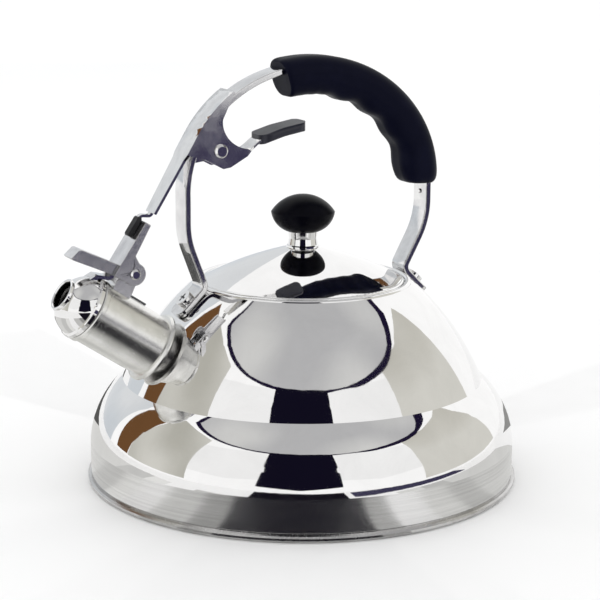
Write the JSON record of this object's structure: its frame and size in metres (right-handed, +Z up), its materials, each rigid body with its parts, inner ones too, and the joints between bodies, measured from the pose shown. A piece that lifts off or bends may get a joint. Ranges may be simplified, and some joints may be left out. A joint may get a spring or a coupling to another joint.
{
  "type": "stovetop whistling kettle",
  "caption": "Domed steel stovetop kettle with a fixed arched handle, lift-off lid and a finger trigger that swings the whistle cap off the spout.",
  "frame": {"origin": "centre of the flat underside of the base, on the kettle's axis", "axes": "+Z up along the kettle's axis; -X towards the spout; +Y to the right of someone looking from the handle's back towards the spout"},
  "size_m": [0.2433, 0.22, 0.2151],
  "materials": {
    "polished_steel": "mirror-polished stainless steel",
    "brushed_steel": "circumferentially brushed stainless steel",
    "satin_steel": "satin pressed steel",
    "core_aluminium": "raw disc",
    "grip_black": "soft-touch black",
    "knob_black": "black phenolic, soft sheen",
    "pad_rubber": "matt dark grey rubber",
    "black_nylon": "matt black",
    "seal_silicone": "matt silicone",
    "spring_steel": "dark spring wire"
  },
  "bodies": {
    "kettle": {"base_cap": "satin_steel", "base_core": "core_aluminium", "lower_pan": "brushed_steel", "upper_shell": "polished_steel", "spout_neck": "polished_steel", "spout_barrel": "polished_steel", "hinge_bracket": "polished_steel", "cap_hinge_pin": "polished_steel", "cap_spring": "spring_steel", "handle_strip": "polished_steel", "handle_grip": "grip_black", "grip_pin": "polished_steel", "handle_screws": "polished_steel", "handle_nuts": "satin_steel", "handle_seals": "seal_silicone", "trigger_lug": "satin_steel", "trigger_pin": "polished_steel", "trigger_spring": "spring_steel"},
    "trigger": {"trigger_bracket": "polished_steel", "pad_tongue": "satin_steel", "trigger_pad": "pad_rubber", "arm_shoe": "black_nylon"},
    "nose": {"cap_lever": "polished_steel", "thumb_tab": "polished_steel", "cap_arm": "polished_steel", "nose_cap": "polished_steel", "whistle_cup": "satin_steel", "whistle_disc_front": "satin_steel", "whistle_disc_rear": "satin_steel", "cap_seal": "seal_silicone"},
    "lid": {"lid_dome": "polished_steel", "lid_skirt": "satin_steel", "knob": "knob_black", "knob_ferrule": "polished_steel", "knob_screw": "satin_steel", "knob_washer": "satin_steel"}
  },
  "joints": [
    {"name": "trigger_squeeze", "type": "hinge", "parent": "kettle", "child": "trigger", "pos_m": [-0.0488, 0, 0.1708], "axis": [0, -1, 0], "range_deg": [0, 7.5], "stiffness_Nm_per_rad": 0.6, "deforming": ["trigger_spring"]},
    {"name": "cap_swing", "type": "hinge", "parent": "kettle", "child": "nose", "pos_m": [-0.09391, 0, 0.11377], "axis": [0, 1, 0], "range_deg": [0, 36], "stiffness_Nm_per_rad": 0.04, "deforming": ["cap_spring"]},
    {"name": "lid_lift", "type": "slide", "parent": "kettle", "child": "lid", "axis": [0, 0, 1], "range_m": [0, 0.024]}
  ],
  "couplings": [
    {"joint": "cap_swing", "follows": "trigger_squeeze", "ratio": 4.8}
  ]
}
